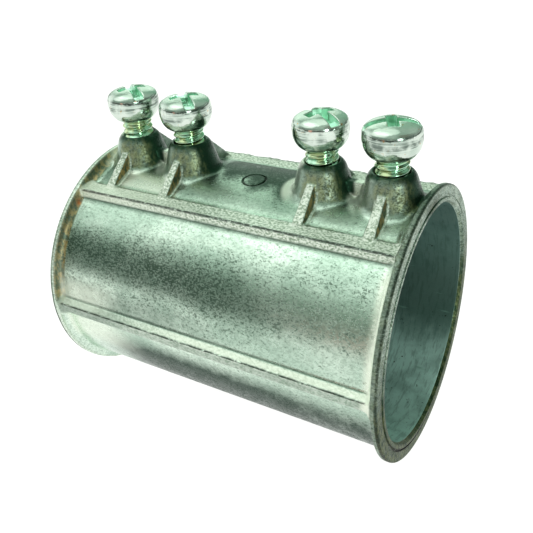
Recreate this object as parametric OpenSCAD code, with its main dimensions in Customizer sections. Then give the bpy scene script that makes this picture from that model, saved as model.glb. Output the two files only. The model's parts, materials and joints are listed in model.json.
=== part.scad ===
// Set-screw coupling for 1-1/2 inch thin-wall electrical conduit (EMT), die-cast zinc.
// Frame: X runs along the bore, Z points up through the screws, the origin is the middle of the bore.
// Units are millimetres.

/* [Conduit] */
// Outside diameter of the conduit that plugs in from each end
conduit_od = 44.2; // [17.9:0.1:114.3]
// Radial gap between the conduit and the bore
bore_gap = 0.25; // [0.1:0.05:0.5]

/* [Casting] */
// Length from mouth to mouth
length = 71.2; // [50:0.2:120]
// Wall of the tube between its ribs
wall = 1.75; // [1.2:0.05:3]
// How much lower the floor between the ledges is than the rest of the tube
floor_drop = 0.3; // [0:0.1:0.6]
// Width of the stop ring in the middle of the bore
stop_w = 1.6; // [1:0.1:4]
// How far the stop ring stands in from the bore
stop_h = 1.75; // [0.8:0.05:2.5]

/* [Rims] */
// Outside diameter of the rim at each mouth
rim_d = 51.9; // [40:0.1:60]
// Distance from the mouth to the rim's inboard edge
rim_w = 1.3; // [0.8:0.1:4]
// Radius of the fillet from the rim down to the tube
rim_fillet = 1.4; // [0.4:0.1:3]
// Depth of the lead-in chamfer along the bore
lead_in = 0.75; // [0:0.05:2]
// Width of the groove in each end face
groove_w = 0.35; // [0.2:0.05:0.8]

/* [Ledges and fins] */
// Half width across the two upper ledges
ledge_y = 13.7; // [10:0.1:18]
// Height of the ledges above the bore's axis
ledge_z = 21.5; // [18:0.1:24]
// Reach of the side fins from the bore's axis
fin_r = 25.4; // [24.5:0.1:26]
// Height of a fin's crest
fin_crest = 1.7; // [0.8:0.1:3]
// Height of a fin at its root
fin_root = 5.2; // [2:0.1:8]

/* [Screw bosses] */
// Distance of the inner pair of screws from the middle
inner_x = 14.9; // [10:0.1:20]
// Distance of the outer pair of screws from the middle
outer_x = 28.25; // [22:0.05:32]
// Height of a boss's top above the bore's axis
boss_z = 30.1; // [27:0.1:36]
// Thickness of the webs and gussets
web_t = 1.7; // [1:0.1:3]
// Height of the web between two bosses
web_z = 26.6; // [25:0.1:30]
// Height at which a front gusset leaves its boss
gusset_z = 27.0; // [25:0.1:30]
// Height at which a back gusset leaves its boss
back_gusset_z = 28.6; // [25:0.1:30]
// How far the back gussets run out over their ledge
back_foot_y = 12.2; // [10.5:0.1:13]

/* [Set screws] */
// Major diameter of the screw thread
thread_d = 6.2; // [4:0.05:10]
// Advance for one turn of the screw
thread_pitch = 1.27; // [0.7:0.01:2]
// Running gap between the thread and its hole
thread_gap = 0.07; // [0.02:0.01:0.1]
// Diameter of the head
head_d = 10.4; // [8:0.1:14]
// Height of the head's lower edge above the bore's axis
head_z = 32.1; // [30:0.1:38]
// Height of the head from its lower edge to its domed top
head_h = 7.05; // [3:0.05:8]
// Width of the driver slot
slot_w = 1.9; // [0.8:0.1:2.5]
// Length of the cross recess
cross_l = 5.6; // [3:0.1:7]
// Direction of each driver slot, from the left screw to the right one
slot_turn = [-32, -41, -31, 27];
// How much further out each screw stands than the lowest one
stand_out = [0.6, 0.15, 0, 0];

/* [Hidden] */
$fn = 96;
bore_r = conduit_od / 2 + bore_gap;
tube_r = bore_r + wall;
floor_r = tube_r - floor_drop;
rim_r = rim_d / 2;
half = length / 2;
lip_r = bore_r + 1.1;
face_in = 0.1;
hole_r = thread_d / 2 + thread_gap;
point_r = thread_d / 2 - 0.75;
point_z = bore_r + 0.25;
point_top = point_z + 1.6;
screw_x = [-outer_x, -inner_x, inner_x, outer_x];

// Points of a round arc, as [radius, height] pairs
function arc(cx, cy, r, a0, a1, n = 6) =
    [for (i = [0:n]) let (a = a0 + (a1 - a0) * i / n) [cx + r * cos(a), cy + r * sin(a)]];

// Lays a profile of [radius, height] along +X
module along_x(sx = 1) {
    rotate([0, sx * 90, 0]) rotate_extrude() children();
}

// One half of the round shell: profile of [radius, distance from the middle]
module shell_half(sx) {
    along_x(sx) polygon(concat(
        [[bore_r - stop_h, 0], [bore_r - stop_h, stop_w / 2], [bore_r, stop_w / 2],
         [bore_r, half - lead_in], [bore_r + lead_in * 0.55, half],
         [lip_r, half], [lip_r, half - groove_w], [lip_r + groove_w, half - groove_w],
         [lip_r + groove_w, half - face_in], [rim_r - 0.4, half - face_in - 0.05],
         [rim_r - 0.12, half - face_in - 0.15], [rim_r, half - face_in - 0.4],
         [rim_r, half - rim_w + 0.15], [rim_r - 0.15, half - rim_w]],
        arc(tube_r + rim_fillet, half - rim_w - rim_fillet, rim_fillet, 96, 180),
        [[tube_r, 0]]));
}

// A straight prism along the bore, drawn as [y, z] points
module long_prism(points, reach) {
    translate([-reach, 0, 0]) rotate([90, 0, 90]) linear_extrude(2 * reach) polygon(points);
}

// The upper part of the tube is a little lower between the two ledges
module floor_cut() {
    reach = half - rim_w - rim_fillet;
    difference() {
        translate([-reach, -ledge_y, ledge_z]) cube([2 * reach, 2 * ledge_y, 8]);
        translate([-half, 0, 0]) rotate([0, 90, 0]) cylinder(r = floor_r, h = length);
    }
}

// Ledges: the two corners of a block whose top and sides stand proud of the tube
module ledges() {
    long_prism([[-ledge_y, 15], [ledge_y, 15], [ledge_y, ledge_z], [-ledge_y, ledge_z]],
               half - rim_w - 0.6);
}

// Fins along both sides, on the line where the die halves meet
module fins() {
    for (s = [-1, 1])
        long_prism([[s * (tube_r - 0.8), -fin_root / 2], [s * fin_r, -fin_crest / 2],
                    [s * fin_r, fin_crest / 2], [s * (tube_r - 0.8), fin_root / 2]],
                   half - rim_w + 0.1);
}

// One tapered boss with a rounded shoulder and a flared foot
module boss(x) {
    shoulder = 1.6;
    translate([x, 0, 0]) rotate_extrude() polygon(concat(
        [[0, 21], [6.6, 21], [6.6, 22.8], [5.95, 23.6], [5.6, 24.4], [4.62, boss_z - 2.2]],
        arc(4.55 - shoulder, boss_z - shoulder, shoulder, 14, 90, 5),
        [[0, boss_z]]));
}

// Front and back gussets of one boss, sloping down to the ledges
module gussets(x) {
    foot_y = 10.9;
    translate([x + web_t / 2, 0, 0]) rotate([90, 0, -90]) linear_extrude(web_t)
        polygon([[-4.2, back_gusset_z + 0.6], [4.2, gusset_z + 0.6], [foot_y, ledge_z + 0.5],
                 [foot_y, ledge_z - 2], [-foot_y, ledge_z - 2], [-back_foot_y, ledge_z - 0.6],
                 [-back_foot_y, ledge_z + 0.1], [-6.9, back_gusset_z - 1.7]]);
}

// Web between the two bosses of one end
module web(sx) {
    translate([min(sx * inner_x, sx * outer_x), -web_t / 2, bore_r - 1])
        cube([outer_x - inner_x, web_t, web_z - bore_r + 1]);
}

// Tapped hole through one boss, with a countersink at the top
module screw_hole(x) {
    translate([x, 0, 0]) {
        translate([0, 0, 15]) cylinder(r = hole_r, h = 30);
        translate([0, 0, boss_z - 0.6]) cylinder(r1 = hole_r, r2 = hole_r + 0.8, h = 0.8);
    }
}

// Ring left by a moulder's ejector pin on the floor between the bosses
module pin_ring() {
    translate([0.5, -1.1, floor_r - 0.25]) difference() {
        cylinder(r = 2.45, h = 2);
        translate([0, 0, -1]) cylinder(r = 2.1, h = 4);
    }
}

module coupling_body() color([0.62, 0.66, 0.60]) difference() {
    union() {
        difference() {
            union() {
                for (sx = [-1, 1]) shell_half(sx);
                ledges();
                fins();
            }
            floor_cut();
        }
        for (x = screw_x) {
            boss(x);
            gussets(x);
        }
        for (sx = [-1, 1]) web(sx);
    }
    // the bore on both sides of the stop ring
    for (sx = [-1, 1]) along_x(sx)
        polygon([[0, stop_w / 2], [bore_r, stop_w / 2], [bore_r, half - lead_in],
                 [bore_r + lead_in * 0.55, half], [bore_r + lead_in * 0.55, half + 2], [0, half + 2]]);
    along_x() translate([0, -stop_w]) square([bore_r - stop_h, 2 * stop_w]);
    for (x = screw_x) screw_hole(x);
    pin_ring();
}

// Head and shank of one screw; i counts from the left
module screw(i) {
    z0 = head_z + stand_out[i];
    r = head_d / 2;
    color([0.70, 0.76, 0.72]) translate([screw_x[i], 0, 0]) difference() {
        union() {
            rotate_extrude() polygon([
                [0, z0 - 0.3], [2.75, z0 - 0.3], [2.95, z0], [3.85, z0 + 0.6], [4.35, z0 + 1.15],
                [4.8, z0 + 2.05], [5.1, z0 + 3.1], [r, z0 + 4.0], [r, z0 + 5.1], [r - 0.15, z0 + 5.6],
                [r - 0.55, z0 + 6.05], [r - 1.6, z0 + 6.55], [r - 3.3, z0 + head_h - 0.12], [0, z0 + head_h]]);
            translate([0, 0, point_top + stand_out[i]])
                cylinder(r = thread_d / 2, h = z0 - 0.9 - point_top - stand_out[i]);
            translate([0, 0, z0 - 0.9]) cylinder(r1 = thread_d / 2, r2 = 2.75, h = 0.65);
        }
        translate([0, 0, z0 + head_h]) rotate([0, 0, slot_turn[i]]) {
            cube([head_d + 1, slot_w, 3.2], center = true);
            cube([slot_w, cross_l, 5.0], center = true);
            cube([cross_l, slot_w, 5.0], center = true);
        }
    }
}

// Plain point below the thread, which meets the conduit
module screw_point(i) {
    color([0.66, 0.70, 0.66]) translate([screw_x[i], 0, point_z + stand_out[i]])
        rotate_extrude() polygon([[0, 0], [point_r - 0.5, 0], [point_r, 0.5],
                                  [point_r, point_top - point_z], [0, point_top - point_z]]);
}

module set_screw_1() screw(0);
module set_screw_2() screw(1);
module set_screw_3() screw(2);
module set_screw_4() screw(3);
module set_screw_point_1() screw_point(0);
module set_screw_point_2() screw_point(1);
module set_screw_point_3() screw_point(2);
module set_screw_point_4() screw_point(3);

coupling_body();
set_screw_1();
set_screw_point_1();
set_screw_2();
set_screw_point_2();
set_screw_3();
set_screw_point_3();
set_screw_4();
set_screw_point_4();
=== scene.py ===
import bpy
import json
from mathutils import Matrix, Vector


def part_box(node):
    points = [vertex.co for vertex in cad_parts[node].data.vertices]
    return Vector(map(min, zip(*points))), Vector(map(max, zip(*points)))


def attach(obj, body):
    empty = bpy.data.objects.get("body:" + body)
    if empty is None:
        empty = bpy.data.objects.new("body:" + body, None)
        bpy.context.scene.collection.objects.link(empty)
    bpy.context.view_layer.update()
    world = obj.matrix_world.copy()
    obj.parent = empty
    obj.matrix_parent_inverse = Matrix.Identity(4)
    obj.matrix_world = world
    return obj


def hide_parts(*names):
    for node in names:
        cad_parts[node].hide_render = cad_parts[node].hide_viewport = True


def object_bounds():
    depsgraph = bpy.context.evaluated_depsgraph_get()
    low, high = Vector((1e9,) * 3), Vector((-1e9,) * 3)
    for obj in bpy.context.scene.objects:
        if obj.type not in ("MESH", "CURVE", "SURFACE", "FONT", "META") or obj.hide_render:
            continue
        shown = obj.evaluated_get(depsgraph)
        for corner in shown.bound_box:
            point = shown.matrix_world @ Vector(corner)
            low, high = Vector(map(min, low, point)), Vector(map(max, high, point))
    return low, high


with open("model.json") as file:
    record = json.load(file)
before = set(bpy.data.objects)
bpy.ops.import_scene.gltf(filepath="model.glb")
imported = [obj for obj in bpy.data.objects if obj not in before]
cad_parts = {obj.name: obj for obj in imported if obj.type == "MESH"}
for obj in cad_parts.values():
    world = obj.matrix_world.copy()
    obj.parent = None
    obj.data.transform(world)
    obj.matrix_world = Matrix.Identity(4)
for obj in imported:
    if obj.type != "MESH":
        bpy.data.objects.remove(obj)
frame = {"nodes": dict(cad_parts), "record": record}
cad_box = [list(corner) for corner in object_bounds()]

# Visual model of a die-cast set-screw coupling for electrical conduit. The casting and the screws are
# each described as a distance field in millimetres, which is then skinned with quads, so that every
# fillet, parting line and thread is real geometry. X runs along the bore and Z up through the screws.
import json
import math

import bpy
import numpy as np
from mathutils import Matrix, Vector

MM = 0.001
SCREWS = (1, 2, 3, 4)

# ---------------------------------------------------------------- sizes, from the frame where it has them
body_low, body_high = (np.array(corner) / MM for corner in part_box("coupling_body"))
mounts = {m["name"]: m for m in frame["record"]["mounts"]}
HALF = body_high[0]  # half the length
RIM_R = body_high[1]
BOSS_TOP = 30.1
BORE_R = mounts["socket_right"]["dims"]["r_mm"]
STOP_R = mounts["stop_ring_throat"]["dims"]["r_mm"]
STOP_HALF = mounts["stop_ring_throat"]["dims"]["length_mm"] / 2
TUBE_R = BORE_R + 1.75
FLOOR_DROP = 0.3
RIM_W = 1.3
RIM_FILLET = 1.7
FACE_IN = 0.1  # the outer ring of the end face lies this far inboard of the lip
LIP_R = BORE_R + 1.1
GROOVE_W = 0.35
LEAD_IN = 0.75
LEDGE_Y = 13.7
LEDGE_Z = 21.5
FIN_R = 25.4
FIN_HALF = 0.85
WEB_HALF = 0.85
WEB_Z = 26.6
HOLE_R = 3.17
PIN_X, PIN_Y, PIN_R = 0.5, -1.1, 2.275  # the ejector pin's ring on the floor between the bosses
ROOT_Z = 19  # bosses, gussets and webs are only described above this height
PITCH = 1.27
THREAD_R = 3.1


def screw_box(n):
    low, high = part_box(f"set_screw_{n}")
    return np.array(low) / MM, np.array(high) / MM


SCREW_X = [float(screw_box(n)[0][0] + screw_box(n)[1][0]) / 2 for n in SCREWS]
SCREW_TOP = [float(screw_box(n)[1][2]) for n in SCREWS]
SCREW_FOOT = [float(screw_box(n)[0][2]) for n in SCREWS]
SLOT_TURN = [-32, -41, -31, 27]  # degrees
SLOT_HALF, SLOT_DEPTH = 0.95, 1.6
CROSS_HALF, CROSS_DEPTH = 2.8, 2.5
HEAD_H = 7.05
HEAD_ROUND = 0.1
# right half of a head's section, as (radius, height above its lower edge), before rounding
HEAD_OUTLINE = [
    (-1.0, 0.1), (2.85, 0.1), (3.8, 0.66), (4.36, 1.2), (4.82, 2.0), (5.08, 2.9), (5.14, 3.8),
    (5.1, 4.7), (4.94, 5.4), (4.6, 5.86), (3.96, 6.26), (3.0, 6.6), (1.6, 6.88), (0.0, 6.97), (-1.0, 6.97),
]  # fmt: skip


# ---------------------------------------------------------------- distance fields
def soft_min(a, b, k):
    """Union of two fields with a fillet of about radius k."""
    h = np.maximum(k - np.abs(a - b), 0) / k
    return np.minimum(a, b) - h * h * k / 4


def soft_max(a, b, k):
    """Intersection of two fields with a rounded edge of about radius k."""
    return -soft_min(-a, -b, k)


def ripple(x, seed, waves=9, finest=1.1):
    """Repeatable rough line along x, from about -1 to 1."""
    rng = np.random.default_rng(seed)
    total = np.zeros_like(x)
    for length in np.geomspace(9.0, finest, waves):
        total = total + math.sqrt(length) * np.sin(2 * math.pi * (x / length + rng.random()))
    return total / 5.5


def shell_field(x, y, z, r):
    """Tube with its two rims, the ledges and the fins, all still solid inside."""
    s = HALF - np.abs(x)
    between = np.clip((z - 21.3) / 0.4, 0, 1) * np.clip((s - 2.4) / 0.8, 0, 1)
    tube = r - TUBE_R + FLOOR_DROP * between
    rim = soft_max(r - RIM_R, s - RIM_W, 0.25)
    ay, az = np.abs(y), np.abs(z)
    ledge = soft_max(ay - LEDGE_Y, z - LEDGE_Z, 0.2)
    ledge = soft_max(np.maximum(ledge, 8 - z), 1.9 - s, 1.2)
    side = (az - FIN_HALF - (FIN_R - ay) * 0.83) * 0.77
    fin = np.maximum(soft_max(ay - FIN_R, side, 0.25), 1.2 - s)
    field = soft_min(tube, ledge, 0.45)
    # rough flash where the die halves met: on the ledges' corners and on the fins' crests
    thick = 0.17 + 0.07 * ripple(x, 1)
    flash = np.hypot(ay - LEDGE_Y + 0.10, z - LEDGE_Z + 0.06 + 0.05 * ripple(x, 2)) - thick
    field = soft_min(field, np.maximum(flash, 2.4 - s), 0.15)
    seam = np.hypot(ay - FIN_R + 0.07, z - FIN_HALF + 0.1 + 0.06 * ripple(x, 3)) - thick * 0.85
    fin = soft_min(fin, np.maximum(seam, 1.4 - s), 0.12)
    field = soft_min(field, fin, 0.55)
    field = soft_min(field, rim, RIM_FILLET)
    field = soft_max(soft_max(field, r - RIM_R, 0.2), FACE_IN - s, 0.45)
    lip = soft_max(r - LIP_R, -s, 0.12)
    field = np.minimum(field, lip)
    groove = np.maximum(np.abs(r - LIP_R - GROOVE_W / 2) - GROOVE_W / 2, s - GROOVE_W)
    return soft_max(field, -groove, 0.08)


def boss_field(x, y, z):
    """The four bosses, tapered, with rounded shoulders."""
    field = np.full(x.shape, 1e3, x.dtype)
    for cx in SCREW_X:
        wall = (np.hypot(x - cx, y) - 5.6 + 0.28 * (z - 24.4)) * 0.963
        field = np.minimum(field, np.maximum(soft_max(wall, z - BOSS_TOP, 1.9), ROOT_Z - z))
    return field


def plate_field(x, y, z):
    """Front and back gussets of the bosses, and the web between the bosses of each pair."""
    field = np.full(x.shape, 1e3, x.dtype)
    for cx in SCREW_X:
        thick = np.abs(x - cx) - 0.72 - 0.05 * (28 - z)
        front = soft_max(((z - 27.6) - (y + 4.2) * 0.836) * 0.767, -y - 11.0, 0.3)
        upper = ((z - 29.2) + (y - 4.2) * 0.852) * 0.761
        lower = ((z - 26.9) + (y - 6.9)) * 0.707
        back = soft_max(soft_max(upper, lower, 0.8), y - 12.3, 0.3)
        slope = np.where(y < 0, front, back)
        field = np.minimum(field, np.maximum(soft_max(thick, slope, 0.2), ROOT_Z - z))
    for sx in (-1, 1):
        lo, hi = sorted((SCREW_X[1 if sx < 0 else 2], SCREW_X[0 if sx < 0 else 3]))
        span = np.abs(x - (lo + hi) / 2) - (hi - lo) / 2
        web = soft_max(np.abs(y) - WEB_HALF - 0.05 * (WEB_Z - z), z - WEB_Z, 0.25)
        field = np.minimum(field, np.maximum(np.maximum(web, span), ROOT_Z - z))
    return field


def hollow_field(x, y, z, r):
    """Everything that is cut away: the bore, the tapped holes and the pin mark."""
    s = HALF - np.abs(x)
    stop = np.minimum(STOP_HALF - np.abs(x), r - STOP_R)
    void = soft_max(r - BORE_R, stop, 0.3)
    lead = (r - BORE_R - (LEAD_IN - s) * 0.55) * 0.876
    void = np.minimum(void, lead)
    for cx in SCREW_X:
        q = np.hypot(x - cx, y)
        sink = (q - HOLE_R - np.maximum(z - BOSS_TOP + 0.6, 0)) * 0.8
        void = np.minimum(void, np.maximum(sink, 15 - z))
    mark = np.abs(np.hypot(x - PIN_X, y - PIN_Y) - PIN_R) - 0.17
    mark = np.maximum(np.maximum(mark, TUBE_R - FLOOR_DROP - 0.25 - r), -z)
    return np.minimum(void, mark)


def casting_field(x, y, z):
    r = np.hypot(y, z)
    field = shell_field(x, y, z, r)
    high = np.broadcast_to(z > 17, field.shape)
    x_high, y_high, z_high = (np.broadcast_to(v, field.shape)[high] for v in (x, y, z))
    shell = field[high]
    bosses, plates = boss_field(x_high, y_high, z_high), plate_field(x_high, y_high, z_high)
    joined = np.minimum(soft_min(shell, bosses, 1.3), soft_min(shell, plates, 0.4))
    field[high] = np.minimum(joined, soft_min(bosses, plates, 0.5))
    return soft_max(field, -hollow_field(x, y, z, r), 0.1)


def cut_corners(outline):
    """The closed outline with each corner cut at a quarter of its two sides."""
    out = []
    for (q0, z0), (q1, z1) in zip(outline, outline[1:] + outline[:1]):
        for share in (0.25, 0.75):
            out.append(((1 - share) * q0 + share * q1, (1 - share) * z0 + share * z1))
    return out


def polygon_field(q, z, outline):
    """Distance to a closed outline of (radius, height) points, negative inside."""
    least, winding = np.full(q.shape, 1e6), np.ones(q.shape)
    for (q0, z0), (q1, z1) in zip(outline, outline[1:] + outline[:1]):
        eq, ez = q1 - q0, z1 - z0
        t = np.clip(((q - q0) * eq + (z - z0) * ez) / (eq * eq + ez * ez), 0, 1)
        least = np.minimum(least, np.hypot(q - q0 - t * eq, z - z0 - t * ez))
        side = eq * (z - z0) - ez * (q - q0)
        crossed = ((z0 <= z) & (z1 > z) & (side > 0)) | ((z0 > z) & (z1 <= z) & (side < 0))
        winding = np.where(crossed, -winding, winding)
    return least * winding


def head_field(q, z):
    return polygon_field(q, z, cut_corners(HEAD_OUTLINE)) - HEAD_ROUND


def screw_field(x, y, z):
    """One screw standing on z = 0 at its head's lower edge, with its driver slot along x."""
    q = np.hypot(x, y)
    turn = np.arctan2(y, x) / (2 * math.pi)
    tooth = np.abs(np.mod(z / PITCH - turn, 1.0) - 0.5) * 2  # 0 at the crest
    shank = q - THREAD_R + 0.62 * soft_max(tooth - 0.12, np.zeros_like(tooth), 0.3)
    shank = soft_max(shank, z + 0.1, 0.1)
    neck = np.maximum(q - 2.75, np.abs(z + 0.3) - 0.5)
    head = head_field(q, z)
    slot = soft_max(np.abs(y) - SLOT_HALF, HEAD_H - SLOT_DEPTH - z, 0.2)
    cross = soft_max(np.abs(x) - SLOT_HALF, np.abs(y) - CROSS_HALF, 0.2)
    deep = soft_max(np.abs(y) - SLOT_HALF, np.abs(x) - CROSS_HALF, 0.2)
    cross = soft_max(np.minimum(cross, deep), HEAD_H - CROSS_DEPTH - z, 0.3)
    head = soft_max(head, -np.minimum(slot, cross), 0.2)
    return soft_min(soft_min(shank, neck, 0.15), head, 0.5)


# ---------------------------------------------------------------- skinning a field
def cylinder_map(a, b, c):
    """Grid lines (x, angle from +Z, radius) to x, y, z."""
    return a, c * np.sin(b), c * np.cos(b)


def plain_map(a, b, c):
    return a, b, c


def lines(*stretches):
    """Grid lines from (end, step) stretches; the first entry is the start."""
    out = [float(stretches[0])]
    for end, step in stretches[1:]:
        n = max(1, round((end - out[-1]) / step))
        out += list(np.linspace(out[-1], end, n + 1)[1:])
    return np.array(out)


def gradient(field, p, h=0.02):
    """Slope of the field at points p, by central differences."""
    out = np.empty_like(p)
    for axis in range(3):
        step = np.zeros(3)
        step[axis] = h
        out[:, axis] = (field(*(p + step).T) - field(*(p - step).T)) / (2 * h)
    return out


def skin(field, a, b, c, to_xyz, ring=False):
    """Vertices, slopes and quads of the surface where the field is zero, on a grid of lines a, b, c.

    One vertex per grid cell that the surface crosses, moved onto the surface along the slope. With ring,
    the b lines close on themselves.
    """
    value = np.empty((len(a), len(b), len(c)), np.float32)
    sheet = [v.astype(np.float32) for v in (b[:, None], c[None, :])]
    for i, ai in enumerate(a):
        value[i] = field(*to_xyz(np.full((1, 1), ai, np.float32), *sheet))
    inside = value < 0
    wrap = (lambda v: np.concatenate([v, v[:, :1]], 1)) if ring else (lambda v: v)
    sign, value = wrap(inside), wrap(value)
    angle = np.append(b, b[0] + 2 * math.pi) if ring else b
    corners = [(i, j, k) for i in (0, 1) for j in (0, 1) for k in (0, 1)]
    cut = {
        (i, j, k): sign[i : sign.shape[0] - 1 + i, j : sign.shape[1] - 1 + j, k : sign.shape[2] - 1 + k]
        for i, j, k in corners
    }
    some = np.logical_or.reduce(list(cut.values())) & ~np.logical_and.reduce(list(cut.values()))
    cells = np.argwhere(some)
    number = np.full(some.shape, -1, np.int64)
    number[some] = np.arange(len(cells))
    # mean of the places where the cell's edges cross the surface, in fractions of the cell
    total, count = np.zeros((len(cells), 3)), np.zeros(len(cells))
    at = {q: value[tuple((cells + q).T)].astype(float) for q in corners}
    for p in corners:
        for axis in range(3):
            if p[axis]:
                continue
            q = tuple(p[n] + (n == axis) for n in range(3))
            v0, v1 = at[p], at[q]
            cross = (v0 < 0) != (v1 < 0)
            t = np.where(cross, v0 / np.where(cross, v0 - v1, 1), 0)
            spot = np.array(p, float)[None, :] + t[:, None] * np.eye(3)[axis]
            total += spot * cross[:, None]
            count += cross
    spot = cells + total / count[:, None]
    place = [np.interp(spot[:, n], np.arange(len(v)), v) for n, v in enumerate((a, angle, c))]
    points = np.stack(to_xyz(*place), 1)
    slope, off = gradient(field, points), field(*points.T)
    for _ in range(3):
        step = np.clip(off / np.maximum((slope**2).sum(1), 0.2), -0.08, 0.08)
        moved = points - slope * step[:, None]
        new = field(*moved.T)
        closer = np.abs(new) < np.abs(off)
        points[closer], off[closer] = moved[closer], new[closer]
    quads = []
    for axis in range(3):
        u, w = [n for n in range(3) if n != axis]
        head = np.roll(inside, -1, axis) if ring and axis == 1 else None
        if head is None:
            first = [slice(None)] * 3
            second = [slice(None)] * 3
            first[axis], second[axis] = slice(None, -1), slice(1, None)
            low, high = inside[tuple(first)], inside[tuple(second)]
        else:
            low, high = inside, head
        edges = np.argwhere(low != high)
        keep = np.ones(len(edges), bool)
        for n in (u, w):
            if not (ring and n == 1):
                keep &= (edges[:, n] > 0) & (edges[:, n] < inside.shape[n] - 1)
        edges = edges[keep]
        flip = low[tuple(edges.T)]
        around = []
        for du, dw in ((-1, -1), (0, -1), (0, 0), (-1, 0)):
            cell = edges.copy()
            cell[:, u] += du
            cell[:, w] += dw
            if ring:
                cell[:, 1] %= some.shape[1]
            around.append(number[tuple(cell.T)])
        quad = np.stack(around, 1)
        outward = flip if axis != 1 else ~flip
        quad[~outward] = quad[~outward][:, ::-1]
        quads.append(quad)
    return points, slope, np.concatenate(quads)


def make_mesh(name, points, quads, marks=None):
    """A smooth-shaded object from points in millimetres, with named per-vertex numbers."""
    mesh = bpy.data.meshes.new(name)
    mesh.from_pydata((points * MM).tolist(), [], quads.tolist())
    mesh.validate()
    mesh.shade_smooth()
    for key, values in (marks or {}).items():
        mesh.attributes.new(key, "FLOAT", "POINT").data.foreach_set("value", values.astype(np.float32))
    obj = bpy.data.objects.new(name, mesh)
    bpy.context.scene.collection.objects.link(obj)
    return obj


def bend(field, p, slope, reach):
    """How convex (positive) or concave (negative) the surface is at p, over a distance of reach."""
    n = slope / np.maximum(np.linalg.norm(slope, axis=1, keepdims=True), 1e-6)
    side = np.cross(n, [0.31, 0.87, 0.39])
    side /= np.maximum(np.linalg.norm(side, axis=1, keepdims=True), 1e-6)
    other = np.cross(n, side)
    total = sum(field(*(p + reach * d).T) for d in (side, -side, other, -other))
    return np.clip(total / (2 * reach), -1, 1)


def fade(value, low, high):
    """0 at or beyond low, 1 at or beyond high, smooth between; low may be the larger."""
    t = np.clip((value - low) / (high - low), 0, 1)
    return t * t * (3 - 2 * t)


def boss_marks(x, y, z, nx, cx, marks):
    """The marks with those of the boss at cx and its gussets added: painted shade and painted warm
    reflections on the boss, its right foot and its gussets, painted highlights on its left side and gusset
    edges; nx is the slope's share along x.
    """
    dark, painted_shade, warm, pale, grit = marks
    side = np.abs(y)
    dx, q, last = x - cx, np.hypot(x - cx, y), cx > 20
    facing = np.degrees(np.arctan2(dx, -y))  # 0 at the front of a boss, positive to its right
    body = fade(z, 22.8, 24.4) * fade(q, 7.2, 6.4)
    shoulder = fade(z, BOSS_TOP - 2.3, BOSS_TOP - 0.5)
    flank = fade(facing, 25, 65) * fade(facing, 178, 150)
    # painted shade on the boss: all over, more on the shoulder and the right flank
    shade = np.maximum(np.maximum(shoulder, 1.1 * flank), 0.3 + 0.2 * last)
    painted_shade = np.maximum(painted_shade, body * shade)
    # painted shade beside the boss's right foot, with a painted warm reflection at the last boss
    beside = flank * fade(q, 9.5, 7.0) * fade(z, 21.4, 21.8) * fade(z, 27, 24)
    painted_shade = np.maximum(painted_shade, (0.7 + 0.3 * last) * beside)
    warm = np.maximum(warm, 0.6 * beside * last)
    # painted warm reflection on the boss's front and right, less on the shoulder
    warm = np.maximum(warm, 0.8 * body * fade(np.abs(facing - 22), 70, 30) * (1 - 0.4 * shoulder))
    # painted dark strokes on the boss's right half
    dark = np.maximum(dark, 0.5 * body * fade(facing, -30, 0))
    # painted highlights on the boss's left flank, its left foot, and the left shoulder of screws 1 and 3
    left = fade(facing, -28, -60) * fade(facing, -150, -120)
    pale = np.maximum(pale, 0.6 * body * left * (1 - shoulder))
    pale = np.maximum(pale, 0.8 * body * left * shoulder * (cx in SCREW_X[::2]))
    foot = fade(z, 24.8, 23.8) * fade(z, 22.2, 22.7) * fade(q, 8.4, 7.4)
    pale = np.maximum(pale, 0.7 * foot * left)
    # gussets: painted highlight on faces turned to the left, grit on the edges, painted warm reflection on
    # the right sides of the front gussets, painted shade on the back gussets
    plate = fade(np.abs(dx), 1.5, 1.25) * fade(side, 4.9, 5.3) * fade(z, 21.7, 22.0)
    edge = plate * fade(np.abs(nx), 0.6, 0.4)
    pale = np.maximum(pale, plate * fade(nx, -0.25, -0.5) * fade(nx, -0.95, -0.8))
    grit = np.maximum(grit, edge)
    warm = np.maximum(warm * (1 - edge), plate * fade(nx, 0.5, 0.75) * (y < 0))
    painted_shade = np.maximum(painted_shade * (1 - edge), 0.8 * plate * (1 - edge) * (y > 0))
    return dark, painted_shade, warm, pale, grit


def line_marks(x, y, z, r, s):
    """Thin dark lines: dark flash on the ledge corners and fin crests, the pin ring, painted shade in the
    ledge creases, a painted dark reflection along the right rim's outer corner, and a painted shadow in the
    end grooves low down.
    """
    side = np.abs(y)
    corner = np.hypot(side - LEDGE_Y, z - LEDGE_Z)
    crease = np.hypot(side - 10.22, z - LEDGE_Z)
    crest = np.hypot(side - FIN_R, z - FIN_HALF)
    line = 0.9 * np.clip(1.4 - corner / 0.32, 0, 1)
    # painted shade in the crease between the floor and each ledge
    line = np.maximum(line, 0.7 * np.clip(1.5 - crease / 0.17, 0, 1))
    line = np.maximum(line, 0.9 * np.clip(1.3 - crest / 0.2, 0, 1)) * fade(s, 1.7, 2.1)
    # painted dark reflection along the right rim's outer corner
    outer = np.hypot(s - 0.35, r - RIM_R + 0.1)
    line = np.maximum(line, 0.75 * np.clip(1.4 - outer / 0.22, 0, 1) * fade(x, -1, 1))
    # painted shadow in the end faces' grooves, under the lip, low down only
    groove = fade(np.abs(r - LIP_R - GROOVE_W / 2), 0.42, 0.2)
    line = np.maximum(line, groove * fade(s, 0.7, 0.5) * fade(z, -8, -18))
    ring = np.abs(np.hypot(x - PIN_X, y - PIN_Y) - PIN_R)
    line = np.maximum(line, 0.9 * np.clip(1.4 - ring / 0.22, 0, 1) * (z > 22))
    return line


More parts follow.
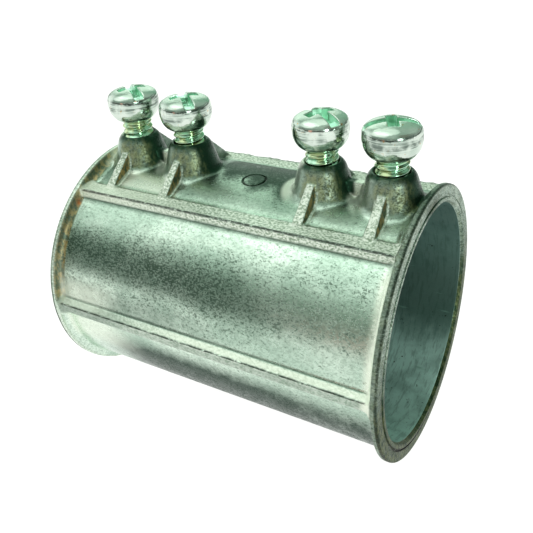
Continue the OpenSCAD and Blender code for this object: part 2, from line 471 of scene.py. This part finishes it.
def casting_marks(p, slope):
    """Marks for the casting's material: painted dark reflections and painted shade, painted warm
    reflections, painted highlights, a copper spot, grit and dark lines.
    """
    x, y, z = p.T
    n = slope / np.maximum(np.linalg.norm(slope, axis=1, keepdims=True), 1e-6)
    side, r, s = np.abs(y), np.hypot(y, z), HALF - np.abs(x)
    around = np.degrees(np.arctan2(side, z))  # 0 on top, 90 at the fins
    ledge = fade(side, 10.1, 10.35) * fade(side, 14.1, 13.8) * fade(z, 19.9, 20.2) * fade(z, 22.2, 21.9)
    ledge = ledge * fade(s, 1.3, 1.7)
    fin = fade(side, TUBE_R + 0.15, TUBE_R + 0.45) * fade(np.abs(z), 2.4, 1.9) * fade(s, 1.4, 1.8)
    rim = fade(r, TUBE_R + 1.2, TUBE_R + 1.6) * fade(s, 2.0, 1.4)
    grit = np.maximum(np.maximum(ledge, 0.65 * fin), 0.5 * rim)
    # painted dark reflections in a broad band along each side and on the floor between the bosses, and
    # painted shade underneath
    off_band = (around - 61.5 - 0.10 * x) / (13.5 + 0.06 * x)
    band = np.exp(-(off_band**2)) * (1 - 0.62 * fade(x, -4, 30))
    below = fade(around, 94, 110) * fade(x, -31, -12)
    wavy = y + 0.25 * x + 1.2 * np.sin(0.9 * x)
    floor_shade = fade(z, 21.6, 22.2) * fade(wavy, -7.5, 1.0) * fade(np.abs(x), 12.5, 8)
    dark = np.maximum(np.maximum(0.95 * band, 0.6 * below), 0.95 * floor_shade)
    # a milder painted dark reflection over the whole side
    dark = np.maximum(dark, 0.32 * fade(around, 36, 50) * fade(around, 88, 76))
    painted_shade = np.maximum(np.maximum(0.50 * band, (1.3 - 0.35 * fade(x, 5, 25)) * below), 1.1 * floor_shade)
    # painted shade just above the fins, fading out to the right
    painted_shade = np.maximum(painted_shade, 0.50 * fade(around, 70, 80) * (around < 88) * (1 - fade(x, -12, 14)))
    # painted shade on the floor between the ledges
    painted_shade = np.maximum(painted_shade, 0.36 * fade(z, 21.6, 22.2))
    tube = fade(r, TUBE_R + 0.45, TUBE_R + 0.15)
    # painted bright reflections: here the dark strokes thin out below their usual share
    bright_zone = np.maximum(fade(around, 70, 80) * fade(x, 8, 26), fade(x, -14, -30) * fade(around, 52, 38))
    bright_zone = np.maximum(bright_zone * (around < 92), fade(around, 90, 96) * fade(x, -10, -26))
    dark, painted_shade = dark * tube * (1 - bright_zone) - 0.6 * bright_zone, painted_shade * tube
    # painted shade in the crease under each ledge's side
    painted_shade = np.maximum(painted_shade, 0.62 * np.clip(1.5 - np.hypot(side - 13.85, z - 19.65) / 0.42, 0, 1))
    # painted shade in the crease above each fin, stronger to the left
    fin_root = np.clip(1.5 - np.hypot(side - 24.0, z - 2.75) / 0.45, 0, 1)
    painted_shade = np.maximum(painted_shade, 0.55 * fin_root * fade(x, 10, -25))
    # painted shade on the right rim's flange
    painted_shade = np.maximum(painted_shade, 0.7 * rim * fade(x, 0, 1))
    # painted shade on the fins: on their left part and on their lower side
    painted_shade = painted_shade * (1 - fin)
    painted_shade = np.maximum(painted_shade, fin * np.maximum(0.6 * fade(x, 0, -26), 0.45 * fade(z, 0.7, 0.4)))
    # end faces: painted shade and painted warm reflection, both stronger towards the bottom, with painted
    # dark strokes; the right rim's flange gets painted warm reflection and dark strokes too
    face = fade(s, 0.9, 0.6)
    warm = np.maximum(0.5 * rim * fade(x, 0, 1), face * (0.45 + 0.30 * fade(z, 8, -8)))
    painted_shade = np.maximum(painted_shade, face * (0.36 + 0.7 * fade(z, 16, -8)))
    dark = np.maximum(dark, np.maximum(0.7 * face, 0.6 * rim * fade(x, 0, 1)))
    # painted highlights, where the skin is also less metallic: the fillet beside the right rim, the fins'
    # upper slopes and the ledges' left ends, with more beside and under the fins at the left and on the
    # floor in front of the two left bosses
    pale = fade(x, 28, 30) * fade(s, 1.2, 1.5) * fade(s, 3.8, 2.2)
    pale = pale * fade(around, 34, 42) * fade(around, 96, 90)
    pale = np.maximum(pale, fin * fade(z, 0.9, 1.15) * fade(x, -28, 4) * 0.8)
    near_fin = 0.6 * fade(x, -17, -27) * fade(around, 71, 80) * fade(around, 89, 87)
    under_fin = 0.6 * fade(x, -14, -26) * fade(around, 93, 97) * fade(around, 116, 106)
    pale = np.maximum(pale, np.maximum(near_fin, under_fin) * fade(s, 1.4, 2.0))
    floor_patch = fade(r, TUBE_R + 0.3, TUBE_R) * fade(y, -4, -7) * fade(z, 21.5, 22.0)
    pale = np.maximum(pale, 0.9 * (floor_patch * fade(np.abs(x + 21.5), 9, 4)))
    pale = np.maximum(pale, 0.8 * ledge * fade(x, -2, -30))
    for cx in SCREW_X:
        dark, painted_shade, warm, pale, grit = boss_marks(x, y, z, n[:, 0], cx, (dark, painted_shade, warm, pale, grit))
    # painted warm reflection and painted shade on the left rim's inboard face
    left_rim = fade(x, -HALF + 3.2, -HALF + 2.4) * fade(n[:, 0], 0.05, 0.3) * fade(around, 96, 84)
    warm = np.maximum(warm, 0.93 * left_rim)
    painted_shade = np.maximum(painted_shade, 0.45 * left_rim)
    spot = np.linalg.norm((p - [-HALF + 1.9, -15.0, 19.2]) / [0.45, 0.5, 1.0], axis=1)
    line = line_marks(x, y, z, r, s)
    return {
        "line": line,
        "dark": dark,
        "painted_shade": painted_shade,
        "warm": warm,
        "pale": pale,
        "copper": np.exp(-(spot**2)),
        "grit": grit * (1 - line),
    }


# ---------------------------------------------------------------- materials
def node(tree, kind, inputs=(), **settings):
    """Adds a node. inputs maps a socket's name or number to a value or to another node's output."""
    made = tree.nodes.new(kind)
    for key, value in settings.items():
        setattr(made, key, value)
    for key, value in dict(inputs).items():
        if isinstance(value, bpy.types.NodeSocket):
            tree.links.new(value, made.inputs[key])
        else:
            made.inputs[key].default_value = value
    return made


def math_of(tree, operation, a, b=0.0, clamp=False):
    made = node(tree, "ShaderNodeMath", {0: a, 1: b}, operation=operation, use_clamp=clamp)
    return made.outputs[0]


def times(tree, a, b, clamp=False):
    return math_of(tree, "MULTIPLY", a, b, clamp)


def plus(tree, a, b):
    return math_of(tree, "ADD", a, b)


def minus(tree, a, b):
    return math_of(tree, "SUBTRACT", a, b)


def noise(tree, where, scale, detail=3.0, rough=0.5, stretch=(1, 1, 1), twist=0.0):
    """Noise from 0 to 1, features about 1/scale metres, drawn out where stretch is small."""
    moved = node(tree, "ShaderNodeMapping", {"Vector": where, "Scale": stretch})
    inputs = {"Vector": moved.outputs[0], "Scale": scale, "Detail": detail, "Roughness": rough}
    made = node(tree, "ShaderNodeTexNoise", {**inputs, "Distortion": twist})
    return made.outputs[0]


def ramp(tree, value, low, high, smooth=True):
    """0 at or below low, 1 at or above high."""
    made = node(
        tree,
        "ShaderNodeMapRange",
        {0: value, 1: low, 2: high, 3: 0.0, 4: 1.0},
        interpolation_type="SMOOTHSTEP" if smooth else "LINEAR",
    )
    return made.outputs[0]


def mix(tree, share, a, b, blend="MIX"):
    made = node(
        tree, "ShaderNodeMix", {0: share, 6: a, 7: b}, data_type="RGBA", blend_type=blend
    )
    return made.outputs[2]


def colour(r, g, b):
    """sRGB from 0 to 255 to the linear colour that nodes take."""
    steps = [((v / 255 + 0.055) / 1.055) ** 2.4 if v > 10 else v / 255 / 12.92 for v in (r, g, b)]
    return (*steps, 1.0)


def new_material(name, **sockets):
    """A material with a Principled shader; sockets are uniform values set on the shader itself."""
    made = bpy.data.materials.new(name)
    made.use_nodes = True
    tree = made.node_tree
    shader = tree.nodes["Principled BSDF"]
    for key, value in sockets.items():
        shader.inputs[key.replace("_", " ")].default_value = value
    where = node(tree, "ShaderNodeTexCoord").outputs["Object"]
    return made, tree, shader, where


def mark(tree, name):
    return node(tree, "ShaderNodeAttribute", attribute_name=name).outputs["Fac"]


def bump(tree, shader, height, strength, distance):
    made = node(
        tree, "ShaderNodeBump", {"Height": height, "Strength": strength, "Distance": distance}
    )
    tree.links.new(made.outputs[0], shader.inputs["Normal"])


def cast_skin():
    """As-cast zinc: pale, with dark strokes that gather into painted dark reflections, painted shade,
    gritty edges, painted warm reflections and painted highlights.
    """
    made, tree, shader, where = new_material("cast_skin")
    dark, painted_shade, warm, pale = (mark(tree, key) for key in ("dark", "painted_shade", "warm", "pale"))
    grit, line = mark(tree, "grit"), mark(tree, "line")
    cloud = noise(tree, where, 110, 3, 0.55, (0.6, 1, 1))
    patch = noise(tree, where, 420, 3, 0.6)
    fine = noise(tree, where, 3300, 2, 0.6, (0.65, 1, 1), 0.9)
    grain = noise(tree, where, 2500, 2, 0.6, (0.6, 1, 1), 0.8)
    sand = noise(tree, where, 2700, 2, 0.6, (0.7, 1, 1), 0.3)
    streak = noise(tree, where, 1100, 4, 0.7, (1, 1, 0.5))
    tone = mix(tree, ramp(tree, cloud, 0.36, 0.66), colour(222, 240, 224), colour(186, 209, 192))
    tone = mix(tree, times(tree, ramp(tree, grain, 0.58, 0.36), 0.34), tone, colour(92, 120, 100))
    # painted shade: darkens the tone towards dark green where that mark is, broken up by the patches
    spread = times(tree, painted_shade, plus(tree, times(tree, patch, 0.7), 0.65), clamp=True)
    tone = mix(tree, spread, tone, colour(38, 66, 50))
    # strokes: a grain all over, whose share of the skin grows with the dark mark into painted dark
    # reflections, broken up by the patches
    covered = plus(tree, times(tree, dark, 0.22), 0.345)
    covered = plus(tree, covered, times(tree, minus(tree, patch, 0.5), 0.20))
    stroke = ramp(tree, minus(tree, covered, fine), -0.04, 0.05)
    deep = plus(tree, times(tree, dark, 0.25), 0.5)
    tone = mix(tree, times(tree, stroke, deep), tone, colour(36, 62, 46))
    # painted warm reflection: gold and olive where the warm mark is, weaker under painted shade
    gold = mix(tree, ramp(tree, warm, 0.82, 0.98), colour(160, 162, 112), colour(204, 162, 96))
    gold = mix(tree, ramp(tree, streak, 0.60, 0.40), gold, colour(80, 84, 54))
    warm_reflection = times(tree, warm, ramp(tree, plus(tree, streak, warm), 0.8, 1.35))
    warm_share = minus(tree, 0.85, times(tree, painted_shade, 0.4))
    tone = mix(tree, times(tree, warm_reflection, warm_share), tone, gold)
    spot = times(tree, mark(tree, "copper"), ramp(tree, streak, 0.3, 0.55))
    tone = mix(tree, spot, tone, colour(196, 112, 62))
    sugar = mix(tree, ramp(tree, sand, 0.36, 0.60), colour(146, 164, 138), colour(252, 255, 244))
    tone = mix(tree, times(tree, grit, minus(tree, 0.9, painted_shade)), tone, sugar)
    # painted highlights
    tone = mix(tree, times(tree, pale, 0.8), tone, colour(250, 255, 238))
    # dark lines: dark flash, with painted shade and a painted dark reflection in some creases and corners
    tone = mix(tree, times(tree, line, ramp(tree, grain, 0.72, 0.52)), tone, colour(28, 32, 24))
    tree.links.new(tone, shader.inputs["Base Color"])
    matt = math_of(tree, "MAXIMUM", times(tree, grit, 0.75), times(tree, pale, 0.45))
    tree.links.new(minus(tree, 1.0, matt), shader.inputs["Metallic"])
    rough = plus(tree, times(tree, patch, 0.12), 0.22)
    rough = plus(tree, rough, times(tree, stroke, 0.18))
    rough = plus(tree, rough, times(tree, plus(tree, grit, warm), 0.2))
    tree.links.new(rough, shader.inputs["Roughness"])
    relief = plus(tree, times(tree, stroke, -0.5), times(tree, patch, 0.5))
    relief = plus(tree, relief, times(tree, times(tree, sand, grit), 2.0))
    bump(tree, shader, relief, 0.5, 0.0001)
    return made


def bore_skin():
    """The drawn core's surface inside the tube: smooth, teal, blotched, with lengthwise scratches."""
    made, tree, shader, where = new_material("bore_skin", Metallic=0.55)
    cloud = noise(tree, where, 150, 5, 0.65)
    scratch = noise(tree, where, 900, 3, 0.6, (0.12, 1, 1))
    rise = node(tree, "ShaderNodeSeparateXYZ", {0: where}).outputs["Z"]
    # painted light: a little lighter in the upper half, much lighter along the bottom of the bore
    tone = mix(tree, ramp(tree, rise, -0.006, 0.006), colour(106, 132, 124), colour(118, 146, 139))
    tone = mix(tree, ramp(tree, rise, -0.012, -0.020), tone, colour(226, 255, 248))
    blotch = times(tree, ramp(tree, cloud, 0.42, 0.66), 0.4)
    tone = mix(tree, blotch, tone, colour(72, 104, 96))
    brushed = noise(tree, where, 1300, 3, 0.7, (1, 0.18, 0.18), 0.2)
    tone = mix(tree, times(tree, ramp(tree, brushed, 0.50, 0.38), 0.3), tone, colour(52, 82, 74))
    pit = noise(tree, where, 520, 4, 0.75)
    tone = mix(tree, ramp(tree, pit, 0.65, 0.69), tone, colour(16, 24, 20))
    tone = mix(tree, ramp(tree, scratch, 0.64, 0.80), tone, colour(150, 190, 176))
    tree.links.new(tone, shader.inputs["Base Color"])
    rough = plus(tree, times(tree, cloud, 0.25), 0.22)
    tree.links.new(rough, shader.inputs["Roughness"])
    bump(tree, shader, plus(tree, cloud, scratch), 0.35, 0.0001)
    return made


def plated_steel():
    """Bright zinc plate, faintly wavy: gold specks, painted shade in hollows such as the thread, a painted
    dark reflection on the head's side, green neck, duller dome, painted bright reflections and a painted
    glow in the slots.
    """
    made, tree, shader, where = new_material("plated_screw")
    wave = noise(tree, where, 420, 3, 0.5)
    speck = noise(tree, where, 1300, 2, 0.6)
    tone = mix(tree, ramp(tree, wave, 0.3, 0.7), colour(216, 226, 216), colour(190, 206, 194))
    tone = mix(tree, ramp(tree, speck, 0.67, 0.74), tone, colour(206, 160, 84))
    # painted shade in hollows: darker where the surface is concave, as in the thread
    hollow_shade = ramp(tree, mark(tree, "bend"), -0.05, -0.35)
    tone = mix(tree, times(tree, hollow_shade, 0.6), tone, colour(70, 84, 70))
    # fine turning lines, darkened as a painted dark reflection around the upper half of a head's side
    turned = noise(tree, where, 2600, 2, 0.6, (0.04, 0.04, 1))
    turned_dark_reflection = times(tree, mark(tree, "side"), ramp(tree, turned, 0.60, 0.42))
    turned_dark_reflection = times(tree, turned_dark_reflection, ramp(tree, wave, 0.38, 0.60))
    tone = mix(tree, times(tree, turned_dark_reflection, 0.85), tone, colour(78, 92, 84))
    slot = mark(tree, "slot")
    neck = times(tree, mark(tree, "neck"), 0.8)
    neck_tone = mix(tree, ramp(tree, wave, 0.42, 0.60), colour(176, 226, 192), colour(184, 200, 146))
    tone = mix(tree, neck, tone, neck_tone)
    # painted bright reflection: pale mint in the slots
    slot_tone = mix(tree, ramp(tree, wave, 0.40, 0.62), colour(206, 246, 226), colour(150, 196, 170))
    tone = mix(tree, slot, tone, slot_tone)
    # painted glow: the slots give off a faint mint light though they are no lamp
    lit = times(tree, slot, ramp(tree, wave, 0.62, 0.42))
    glow = mix(tree, lit, colour(0, 0, 0), colour(144, 206, 172))
    tree.links.new(glow, shader.inputs["Emission Color"])
    shader.inputs["Emission Strength"].default_value = 0.22
    tree.links.new(tone, shader.inputs["Base Color"])
    matt = math_of(tree, "MAXIMUM", times(tree, slot, 0.4), times(tree, mark(tree, "dome"), 0.28))
    tree.links.new(minus(tree, 1.0, matt), shader.inputs["Metallic"])
    tree.links.new(plus(tree, times(tree, wave, 0.16), 0.06), shader.inputs["Roughness"])
    bump(tree, shader, wave, 0.5, 0.0002)
    return made


def screw_tip():
    """Bare steel of the screws' points, turned and slightly dull."""
    made, tree, shader, where = new_material("screw_tip", Metallic=1.0)
    ring = noise(tree, where, 3000, 2, 0.5, (0.1, 0.1, 1))
    tone = mix(tree, ring, colour(160, 170, 160), colour(196, 206, 196))
    tree.links.new(tone, shader.inputs["Base Color"])
    tree.links.new(plus(tree, times(tree, ring, 0.2), 0.25), shader.inputs["Roughness"])
    bump(tree, shader, ring, 0.3, 0.00005)
    return made


def paper_floor():
    """Plain white paper."""
    made, tree, shader, where = new_material("paper_floor", Roughness=0.9)
    fibre = noise(tree, where, 300, 3, 0.5)
    tone = mix(tree, fibre, colour(112, 113, 112), colour(118, 118, 117))
    tree.links.new(tone, shader.inputs["Base Color"])
    shader.inputs["Emission Color"].default_value = colour(254, 254, 253)
    shader.inputs["Emission Strength"].default_value = 1.0
    return made


# ---------------------------------------------------------------- the casting
DEG = math.pi / 180
along = lines(-36.0, (-33.4, 0.12), (-2.8, 0.25), (3.6, 0.16), (33.4, 0.25), (36.0, 0.12))
ledge_angle = math.atan2(LEDGE_Y, LEDGE_Z)
turn = lines(
    -ledge_angle - 0.03,
    (-0.19, 0.010),
    (0.11, 0.0068),
    (ledge_angle + 0.03, 0.010),
    (84 * DEG, 0.022),
    (96 * DEG, 0.0085),
    (264 * DEG, 0.027),
    (276 * DEG, 0.0085),
    (2 * math.pi - ledge_angle - 0.03, 0.022),
)[:-1]
outward = lines(20.2, (22.1, 0.3), (26.2, 0.13), (30.5, 0.2))
points, slope, quads = skin(casting_field, along, turn, outward, cylinder_map, ring=True)
casting = make_mesh("casting", points, quads, casting_marks(points, slope))
casting.data.materials.append(cast_skin())
casting.data.materials.append(bore_skin())
inner = (np.hypot(points[:, 1], points[:, 2]) < BORE_R + 0.3) & (HALF - np.abs(points[:, 0]) > LEAD_IN)
casting.data.polygons.foreach_set("material_index", inner[quads[:, 0]].astype(np.int32))
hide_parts("coupling_body")
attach(casting, "casting")

# ---------------------------------------------------------------- the screws
across = lines(-5.5, (5.5, 0.13))
foot = SCREW_FOOT[0] - (SCREW_TOP[0] - HEAD_H)
up = lines(foot - 0.3, (7.4, 0.13))


def cut_screw_field(x, y, z):
    return soft_max(screw_field(x, y, z), foot - z, 0.2)


screw_points, screw_slope, screw_quads = skin(cut_screw_field, across, across, up, plain_map)
screw_q, screw_z = np.hypot(screw_points[:, 0], screw_points[:, 1]), screw_points[:, 2]
screw_marks = {
    "bend": bend(cut_screw_field, screw_points, screw_slope, 0.4),
    "slot": fade(head_field(screw_q, screw_z), -0.1, -0.3) * (screw_z > 3.5),
    "neck": fade(screw_q, 3.5, 3.2) * (screw_z < 0.1),
    "dome": fade(screw_z, 4.9, 5.7),
    "side": fade(screw_z, 2.6, 3.4) * fade(screw_z, 5.6, 5.0) * (screw_q > 4.5),
}
plating, tip = plated_steel(), screw_tip()
for n, x, top, slot_turn in zip(SCREWS, SCREW_X, SCREW_TOP, SLOT_TURN):
    c, s = math.cos(slot_turn * DEG), math.sin(slot_turn * DEG)
    turned = screw_points @ np.array([[c, s, 0], [-s, c, 0], [0, 0, 1]])
    screw = make_mesh(f"screw_{n}", turned + [x, 0, top - HEAD_H], screw_quads, screw_marks)
    screw.data.materials.append(plating)
    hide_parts(f"set_screw_{n}")
    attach(screw, f"screw_{n}_turn")
    for material_slot in frame["nodes"][f"set_screw_point_{n}"].material_slots:
        material_slot.material = tip

# ---------------------------------------------------------------- floor, light and camera
floor_mesh = bpy.data.meshes.new("floor")
FLOOR_Z, FLOOR_REACH = cad_box[0][2], 3.0
corners = [(x * FLOOR_REACH, y * FLOOR_REACH, FLOOR_Z) for x, y in ((-1, -1), (1, -1), (1, 1), (-1, 1))]
floor_mesh.from_pydata(corners, [], [(0, 1, 2, 3)])
floor = bpy.data.objects.new("floor", floor_mesh)
bpy.context.scene.collection.objects.link(floor)
floor_mesh.materials.append(paper_floor())


def lobe(tree, direction, towards, inner, outer):
    """1 within inner degrees of a direction, fading to 0 at outer degrees."""
    unit = Vector(towards).normalized()
    dot = node(tree, "ShaderNodeVectorMath", {0: direction, 1: unit}, operation="DOT_PRODUCT")
    return ramp(tree, dot.outputs["Value"], math.cos(outer * DEG), math.cos(inner * DEG))


def studio_world():
    """A room dark along its horizon, with a mint ceiling and pale panels above and at the left."""
    world = bpy.data.worlds.new("studio")
    world.use_nodes = True
    tree = world.node_tree
    direction = node(tree, "ShaderNodeTexCoord").outputs["Generated"]
    rise = node(tree, "ShaderNodeSeparateXYZ", {0: direction}).outputs["Z"]
    tone = mix(tree, ramp(tree, rise, 0.10, 0.60), colour(44, 56, 48), colour(128, 150, 136))
    shelf = times(tree, ramp(tree, rise, 0.15, 0.17), ramp(tree, rise, 0.24, 0.22))
    tone = mix(tree, times(tree, shelf, 0.7), tone, colour(186, 196, 190))
    for towards, inner, outer, shade in (
        ((-0.30, 0.85, 0.40), 14, 46, colour(104, 146, 122)),
        ((-0.56, 0.72, 0.40), 10, 30, colour(230, 252, 236)),
        ((-0.42, -0.36, 0.83), 12, 36, colour(248, 255, 250)),
        ((-0.93, 0.02, 0.26), 8, 30, colour(240, 246, 242)),
        ((0.95, -0.15, 0.20), 16, 50, colour(48, 64, 56)),
        ((0.72, -0.22, 0.62), 8, 28, colour(70, 72, 52)),
        ((-0.22, -0.95, 0.09), 2, 9, colour(206, 150, 136)),
    ):
        tone = mix(tree, lobe(tree, direction, towards, inner, outer), tone, shade)
    background = tree.nodes["Background"]
    tree.links.new(tone, background.inputs["Color"])
    background.inputs["Strength"].default_value = 1.5
    bpy.context.scene.world = world


def softbox(name, place, target, size, power, tint):
    data = bpy.data.lights.new(name, "AREA")
    data.shape = "DISK"
    data.size = size
    data.energy = power
    data.color = tint[:3]
    lamp = bpy.data.objects.new(name, data)
    lamp.location = place
    lamp.rotation_euler = (Vector(target) - Vector(place)).to_track_quat("-Z", "Y").to_euler()
    bpy.context.scene.collection.objects.link(lamp)


def photo_camera():
    """The camera at the photograph's viewing angle; its place and lens come from a fit of the outline."""
    azimuth, elevation, roll = 31.41 * DEG, 25.77 * DEG, -4.66 * DEG
    back = Vector(
        (
            math.sin(azimuth) * math.cos(elevation),
            -math.cos(azimuth) * math.cos(elevation),
            math.sin(elevation),
        )
    )
    level = Vector((math.cos(azimuth), math.sin(azimuth), 0))
    rise = back.cross(level)
    right = math.cos(roll) * level + math.sin(roll) * rise
    above = -math.sin(roll) * level + math.cos(roll) * rise
    data = bpy.data.cameras.new("camera")
    data.sensor_width = 36
    data.lens = 44.775
    data.shift_x, data.shift_y = -0.0253, -0.1435
    data.clip_start, data.clip_end = 0.005, 20
    camera = bpy.data.objects.new("camera", data)
    turn_to = Matrix((right, above, back)).transposed()
    camera.matrix_world = Matrix.Translation((0.065417, -0.098240, 0.077467)) @ turn_to.to_4x4()
    bpy.context.scene.collection.objects.link(camera)
    bpy.context.scene.camera = camera


studio_world()
softbox("overhead", (-0.20, 0.05, 0.90), (0, 0, 0), 0.9, 1.6, colour(244, 255, 246))
softbox("side", (0.42, -0.34, 0.14), (0.02, 0.01, -0.008), 0.16, 0.65, colour(240, 255, 250))
photo_camera()
bpy.context.scene.view_settings.view_transform = "Standard"
